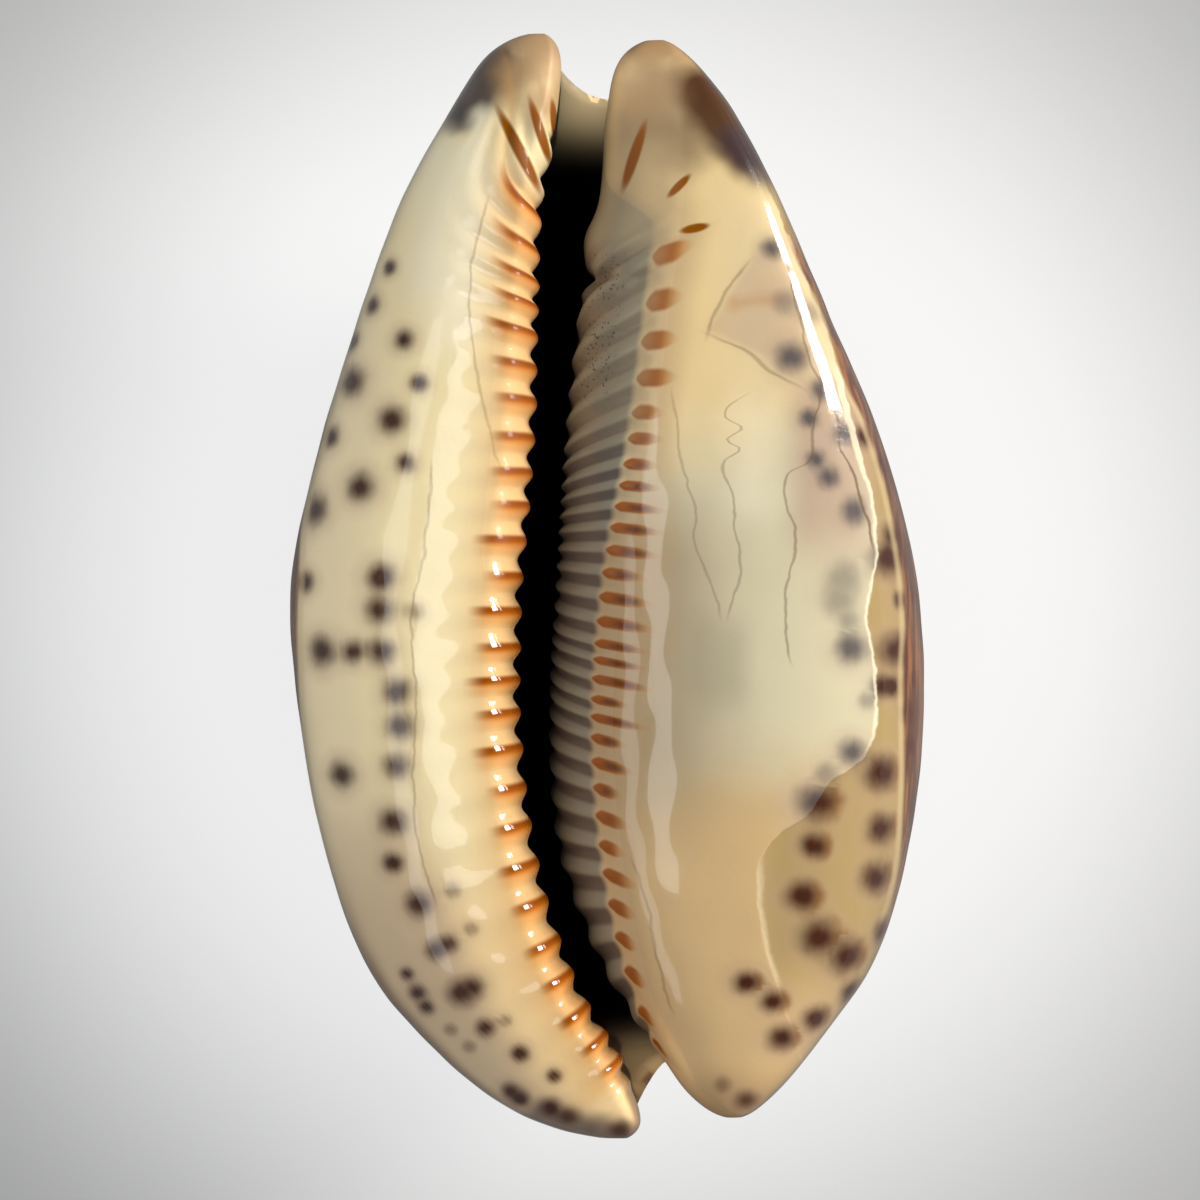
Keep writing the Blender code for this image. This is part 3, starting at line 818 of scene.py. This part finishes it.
def addColumella(at, colour):
    # the wall inside the right lip: pale ribs with painted shade in their grooves, then painted shade
    # that turns to a black painted shadow further in
    y = at["planY"]
    rightSide = rightHalf(at)
    wave = calc("COSINE", calc("MULTIPLY_ADD", at["rightCount"], 2 * math.pi, -0.7))
    # the grooves between the ribs darkened with painted shade
    ribs = paint(fade(wave, -0.5, 0.6), enamel["ribGrooveShade"], enamel["ribPale"])
    smooth = fade(y, 18.6, 20.4)
    ribs = layer(ribs, "fossulaAndShade", smooth)
    wallOut = calc("MULTIPLY_ADD", fade(y, 20.6, 24.0), 4.0, at["rightOut"])
    ribbed = product(fade(wallOut, 0.15, -0.4), fade(y, -27.3, -24.3), 0.95)
    colour = paint(ribbed, colour, ribs)
    # painted shade along the lip's edge toward the front, on the base and the wall, in the fossula's
    # grey-tan
    colour = layer(colour, "fossulaAndShade", fade(wallOut, 1.5, -0.1), fade(y, 7.0, 10.0), rightSide, 0.45)
    colour = layer(colour, "wallShade", fade(at["rightOut"], -0.3, -5.5), fade(y, 10.0, -8.0),
                   fade(y, -27.3, -24.3), 0.85, rightSide)
    # ragged patches of black painted shadow down the wall toward the front
    colour = layer(colour, "hollowShadow", fade(noise(at["place"], 5.0, 3.0), 0.6, 0.68),
                   band(y, 10.6, 19.0, 0.8), band(at["rightOut"], -4.6, -1.6, 0.5), 0.75)
    # the slit's depths and the inside of the shell painted near black, as shadow, except near the two
    # ends
    deep = fade(at["rightOut"], -4.0, -8.5)
    leftDeep = product(fade(at["leftOut"], -0.8, -3.2), at["leftSide"])
    ends = product(fade(y, -27.5, -24.0), fade(y, 27.0, 23.5))
    dark = product(calc("MAXIMUM", at["inside"], calc("MAXIMUM", deep, leftDeep)), ends)
    return dark, paint(dark, colour, enamel["hollowShadow"])


hairlines = (
    # lowest and highest y, half width, colour, strength, and places as (y, x)
    ((-4.3, 19.1), 0.05, "hairline", 0.5, ((19.1, 10.2), (15.9, 11.0), (13.1, 11.6), (11.3, 12.3),
        (9.3, 11.8), (7.2, 11.6), (6.5, 10.4), (5.4, 10.2), (2.7, 10.9), (-0.1, 10.3), (-4.3, 10.5))),
    ((2.2, 16.1), 0.055, "hairline", 0.75, ((16.1, 11.4), (12.3, 12.5), (10.9, 12.8), (9.0, 13.4),
        (7.9, 13.4), (6.8, 14.1), (5.1, 14.5), (3.9, 15.0), (1.9, 15.3))),
    ((-1.7, 11.1), 0.05, "hairline", 0.35, ((11.1, 3.7), (8.9, 4.0), (6.7, 4.3), (4.3, 5.1), (2.8, 4.9),
        (0.7, 5.7), (-1.7, 6.5))),
    ((-1.7, 10.9), 0.05, "hairline", 0.4, ((10.9, 7.7), (9.8, 6.8), (9.1, 7.7), (8.4, 6.9), (8.0, 7.6),
        (7.0, 6.6), (4.9, 7.3), (3.4, 7.2), (2.1, 7.6), (-1.7, 7.0))),
    ((14.5, 18.6), 0.07, "hairline", 0.4, ((18.6, 8.0), (17.4, 7.1), (16.2, 6.4), (14.5, 5.7))),
    ((11.6, 14.4), 0.12, "hairline", 0.4, ((14.7, 5.4), (14.2, 6.5), (13.4, 8.3), (12.4, 9.3),
        (11.9, 10.3), (11.3, 11.4))),
    ((6.7, 22.3), 0.05, "hairline", 0.35, ((22.3, -7.0), (16.5, -8.0), (13.1, -7.7), (9.6, -7.0),
        (6.7, -6.2))),
    ((-18.1, 7.0), 0.05, "hairline", 0.35, ((7.0, -10.2), (2.0, -10.6), (-1.4, -11.3), (-6.6, -11.1),
        (-12.4, -11.2), (-15.3, -10.9), (-18.1, -9.9))),
    ((-24.5, -15.8), 0.06, "hairline", 0.35, ((-15.8, 1.4), (-18.5, 2.3), (-21.8, 2.9), (-24.5, 3.7))),
    # the pale line is a painted highlight along the callus's lower edge
    ((-22.9, -16.0), 0.12, "highlightLine", 0.45, ((-16.0, 8.8), (-19.2, 8.9), (-21.2, 9.3), (-22.9, 9.8))),
)


# A pinkish shade under the callus: a polygon of straight sides, turned anticlockwise.
callusShade = dict(
    corners=((8.9, 20.4), (6.2, 15.9), (5.4, 14.6), (8.4, 13.3), (11.3, 11.8), (11.4, 16.6)),
    soft=0.6, strength=0.5,
)


def addCallusShade(at, colour):
    corners, soft = callusShade["corners"], callusShade["soft"]
    inside = fade(at["facing"], 0.1, 0.3)
    for (ax, ay), (bx, by) in zip(corners, (*corners[1:], corners[0])):
        _, across, _ = turned(at, (ax, ay), (bx - ax, by - ay))
        inside = product(inside, fade(across, -soft, soft))
    colour = layer(colour, "callusShade", inside, callusShade["strength"])
    return layer(colour, "callusShade", band(at["planY"], 2.0, 12.0, 2.5),
                 band(at["planX"], 10.6, 15.0, 1.2), 0.8)


def addHairlines(at, colour):
    y = at["planY"]
    x = calc("ADD", at["planX"], waver(at["place"], 0.8, 2.0, 0.5))
    facing = fade(at["facing"], 0.1, 0.3)
    for (low, high), half, tone, strength, points in hairlines:
        offset = calc("SUBTRACT", x, drawnCurve(y, points))
        stroke = fade(calc("ABSOLUTE", offset), half * 2.6, half * 0.3)
        reach = band(y, low, high, 0.6)
        colour = layer(colour, tone, stroke, reach, facing, strength)
    return colour


def backColour(at):
    # the hidden back: fawn with brown dashes along it, pale rings and a bare line
    place = at["place"]
    lengthwise = scaled(place, (1.0, 0.22, 1.0))
    dashes = fade(noise(lengthwise, 1.05, 3.0), 0.47, 0.56)
    cells = newNode("TexVoronoi", place)
    feed(cells.inputs["Vector"], place)
    cells.inputs["Scale"].default_value = 0.24
    rings = fade(cells.outputs["Distance"], 0.30, 0.42)
    colour = paint(product(dashes, rings, 0.9), enamel["backFawn"], enamel["backBrown"])
    colour = layer(colour, "backPale", calc("SUBTRACT", 0.55, product(rings, 0.55)))
    parts = newNode("SeparateXYZ", place)
    feed(parts.inputs[0], place)
    sway = product(calc("SINE", product(parts.outputs[1], 0.16)), 1.1)
    fromLine = calc("ABSOLUTE", calc("SUBTRACT", parts.outputs[0], calc("ADD", sway, 3.0)))
    upsideDown = fade(at["facing"], -0.3, -0.6)
    colour = layer(colour, "backPale", fade(fromLine, 1.5, 0.7), upsideDown, 0.8)
    return layer(colour, "backFlank", fade(at["facing"], -0.55, -0.1),
                 fade(noise(place, 0.3), 0.35, 0.6), 0.7)


def enamelMaterial():
    material = bpy.data.materials.new("enamel")
    material.use_nodes = True
    tree = material.node_tree
    at = readFields(tree)
    x, y = at["planX"], at["planY"]
    colour = groundColour(at)
    beyond, callusReflection = callusMasks(at)
    rightSide = rightHalf(at)
    colour = layer(colour, "marginGold", fade(beyond, -0.05, 0.05), fade(x, 7.0, 10.4), rightSide,
                   fade(y, -25.5, -20.5))
    colour = addTips(at, colour)
    colour = addCallusShade(at, colour)
    colour = addSmears(at, colour)
    colour = addSpots(at, colour)
    colour = addFlanks(at, colour)
    # a faint bluish painted reflection over the callus
    colour = layer(colour, "reflectionBlue", callusReflection, enamel["reflectionAmount"])
    # a painted dark reflection: a soft grey patch on the right base
    darkReflection = product(band(x, 4.6, 8.0, 0.9), band(y, -7.2, -2.2, 1.8), 0.34)
    colour = layer(colour, "reflectionGrey", darkReflection, rightSide)
    # a painted highlight in a thin band just inside the callus's right edge
    highlightWidth = calc("MULTIPLY_ADD", fade(y, 3.0, 10.0), -0.24, -0.20)
    colour = layer(colour, "highlightCream", fade(calc("SUBTRACT", beyond, highlightWidth), -0.08, 0.08),
                   fade(beyond, 0.0, -0.1), band(y, -9.0, 12.5, 1.5), fade(at["facing"], 0.1, 0.3), 0.6)
    colour = addHairlines(at, colour)
    colour = addLeftTeeth(at, colour)
    colour = addRightTeeth(at, colour)
    colour = addTopMarks(at, colour)
    hidden = fade(at["facing"], 0.06, -0.1)
    colour = paint(hidden, colour, backColour(at))
    colour = layer(colour, "insideTan", at["inside"])
    dark, colour = addColumella(at, colour)

    shader = tree.nodes["Principled BSDF"]
    feed(shader.inputs["Base Color"], colour)
    wall = product(fade(at["rightOut"], 1.6, 0.9), rightSide, 0.8)
    worn = product(fade(at["leftOut"], 2.6, 1.4), at["leftSide"], fade(y, -1.0, 3.0), 0.85)
    side = product(fade(at["facing"], 0.3, -0.05), 0.7)
    dull = calc("MAXIMUM", calc("MAXIMUM", dark, side), calc("MAXIMUM", wall, worn))
    low, high = enamel["roughness"]
    patchy = calc("MULTIPLY_ADD", noise(at["place"], 0.7, 4.0), high - low, low)
    feed(shader.inputs["Roughness"], calc("MULTIPLY_ADD", dull, enamel["dullRoughness"], patchy))
    feed(shader.inputs["Coat Weight"], calc("MULTIPLY_ADD", dull, -enamel["coat"], enamel["coat"]))
    shader.inputs["Coat Roughness"].default_value = enamel["coatRoughness"]
    shader.inputs["Coat IOR"].default_value = enamel["coatIor"]
    shader.inputs["IOR"].default_value = enamel["ior"]
    shader.inputs["Specular IOR Level"].default_value = enamel["specular"]
    bump = newNode("Bump", colour)
    bump.inputs["Distance"].default_value = enamel["bumpDepth"]
    step = product(fade(beyond, 0.15, -0.15), fade(x, 2.0, 10.5), fade(y, 25.0, 18.0))
    grain = product(noise(at["place"], 2.2, 3.0), 0.25)
    feed(bump.inputs["Height"], calc("ADD", step, grain))
    feed(shader.inputs["Normal"], bump.outputs["Normal"])
    print("enamel mixed:", len(tree.nodes), "nodes")
    return material


shell.data.materials.append(enamelMaterial())
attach(shell, "root")
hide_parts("shell")


# The floor, the lamps, the sky and the camera.
studio = dict(
    floorSize=1.5, floorMiddle=0.75, floorEdge=0.24, floorReach=(0.024, 0.060), floorPaint=0.20,
    floorMirrored=0.04,
    skyZenith=(0.05, 0.052, 0.056, 1), skyHorizon=(0.66, 0.70, 0.76, 1), skyRise=(0.30, 0.85),
    skyMirrored=0.15,
    lens=135, nearest=0.01, cameraPlace=(-0.00046, -0.00081, 0.2854),
    beamHeight=0.26, beamLamp=0.002, beamColour=(1, 0.95, 0.86),
)
lamps = (
    # name, place, aim, size, brightness, colour, and whether the glaze mirrors it
    ("key", (0.462, 0.185, 0.255), (0, 0, 0.02), (0.16, 0.24), 31.0, (1, 0.96, 0.90), True),
    ("window", (-0.041, -0.001, 0.15), (-0.008, -0.001, 0.03),
        (0.078, 0.022), 2.1, (0.97, 0.99, 1), True),
    ("blind", (-0.087, -0.02, 0.15), (-0.01, -0.02, 0.03), (0.13, 0.024), 1.35, (0.95, 0.98, 1), True),
    # these two lift the colours
    ("overhead", (0.0, 0.0, 0.6), (0, 0, 0.02), (0.5, 0.5), 0.55, (1, 0.98, 0.94), False),
    ("leftFill", (-0.40, 0.05, 0.40), (0, 0, 0.02), (0.5, 0.5), 0.66, (1, 0.98, 0.94), False),
)
beams = (
    # narrow beams down the canals, for the light that a thin wall lets through:
    # name, x, y, reach and watts
    ("frontCanal", -0.0013, 0.0290, 0.0028, 5.2),
    ("backCanal", 0.0024, -0.0284, 0.0026, 1.4),
)


def addFloor():
    bm = bmesh.new()
    bmesh.ops.create_grid(bm, x_segments=1, y_segments=1, size=studio["floorSize"])
    floor = meshPiece("floor", bm)
    floor.data.materials.append(floorMaterial())


def floorMaterial():
    # pale paper, darker outwards; most of its light is its own, so the shadow stays faint
    material = bpy.data.materials.new("floorPaper")
    material.use_nodes = True
    tree = material.node_tree
    tree.nodes.remove(tree.nodes["Principled BSDF"])
    coordinates = tree.nodes.new("ShaderNodeTexCoord")
    length = tree.nodes.new("ShaderNodeVectorMath")
    length.operation = "LENGTH"
    feed(length.inputs[0], coordinates.outputs["Object"])
    outer = fade(length.outputs["Value"], *studio["floorReach"])
    middle, edge = ((level, level, level, 1) for level in (studio["floorMiddle"], studio["floorEdge"]))
    glow = tree.nodes.new("ShaderNodeEmission")
    feed(glow.inputs["Color"], paint(outer, middle, edge))
    rays = tree.nodes.new("ShaderNodeLightPath")
    seen = calc("MULTIPLY_ADD", rays.outputs["Is Glossy Ray"], studio["floorMirrored"],
                rays.outputs["Is Camera Ray"])
    seen = calc("ADD", seen, rays.outputs["Is Transmission Ray"])
    feed(glow.inputs["Strength"], seen)
    paper = tree.nodes.new("ShaderNodeBsdfDiffuse")
    paper.inputs["Color"].default_value = (*[studio["floorPaint"]] * 3, 1)
    both = tree.nodes.new("ShaderNodeAddShader")
    feed(both.inputs[0], paper.outputs[0])
    feed(both.inputs[1], glow.outputs[0])
    feed(tree.nodes["Material Output"].inputs["Surface"], both.outputs[0])
    return material


def addSoftbox(name, place, aim, size, radiance, colour, mirrored):
    light = bpy.data.lights.new(name, "AREA")
    light.shape = "RECTANGLE"
    light.size, light.size_y = size
    light.energy = radiance * math.pi * size[0] * size[1]
    light.color = colour
    lamp = bpy.data.objects.new(name, light)
    lamp.location = place
    lamp.rotation_euler = (Vector(aim) - Vector(place)).to_track_quat("-Z", "Y").to_euler()
    lamp.visible_camera = False
    lamp.visible_glossy = mirrored
    bpy.context.collection.objects.link(lamp)


def addBeam(name, x, y, reach, watts, lit):
    light = bpy.data.lights.new(name, "SPOT")
    light.energy = watts
    light.color = studio["beamColour"]
    light.spot_size = 2 * math.atan(reach / studio["beamHeight"])
    light.spot_blend = 1.0
    light.shadow_soft_size = studio["beamLamp"]
    lamp = bpy.data.objects.new(name, light)
    lamp.location = (x, y, studio["beamHeight"])
    lamp.visible_glossy = False
    lamp.light_linking.receiver_collection = lit
    bpy.context.collection.objects.link(lamp)


def addSky():
    # bright low down and dim overhead, and dimmer still where the glaze mirrors it
    world = bpy.data.worlds.new("studio")
    bpy.context.scene.world = world
    world.use_nodes = True
    tree = world.node_tree
    coordinates = tree.nodes.new("ShaderNodeTexCoord")
    parts = tree.nodes.new("ShaderNodeSeparateXYZ")
    feed(parts.inputs[0], coordinates.outputs["Generated"])
    high = fade(parts.outputs[2], *studio["skyRise"])
    colour = paint(high, studio["skyHorizon"], studio["skyZenith"])
    feed(tree.nodes["Background"].inputs["Color"], colour)
    rays = tree.nodes.new("ShaderNodeLightPath")
    strength = calc("MULTIPLY_ADD", rays.outputs["Is Glossy Ray"], studio["skyMirrored"] - 1, 1.0)
    feed(tree.nodes["Background"].inputs["Strength"], strength)


def addCamera():
    lens = bpy.data.cameras.new("camera")
    lens.lens = studio["lens"]
    lens.clip_start = studio["nearest"]
    camera = bpy.data.objects.new("camera", lens)
    camera.location = studio["cameraPlace"]
    bpy.context.collection.objects.link(camera)
    bpy.context.scene.camera = camera


addFloor()
for lamp in lamps:
    addSoftbox(*lamp)
litByBeams = bpy.data.collections.new("litByBeams")     # the beams light only what is in it
litByBeams.objects.link(shell)
for beam in beams:
    addBeam(*beam, litByBeams)
addCamera()
addSky()
print("studio set:", len(lamps) + len(beams), "lamps")
bpy.context.scene.view_settings.view_transform = "Standard"
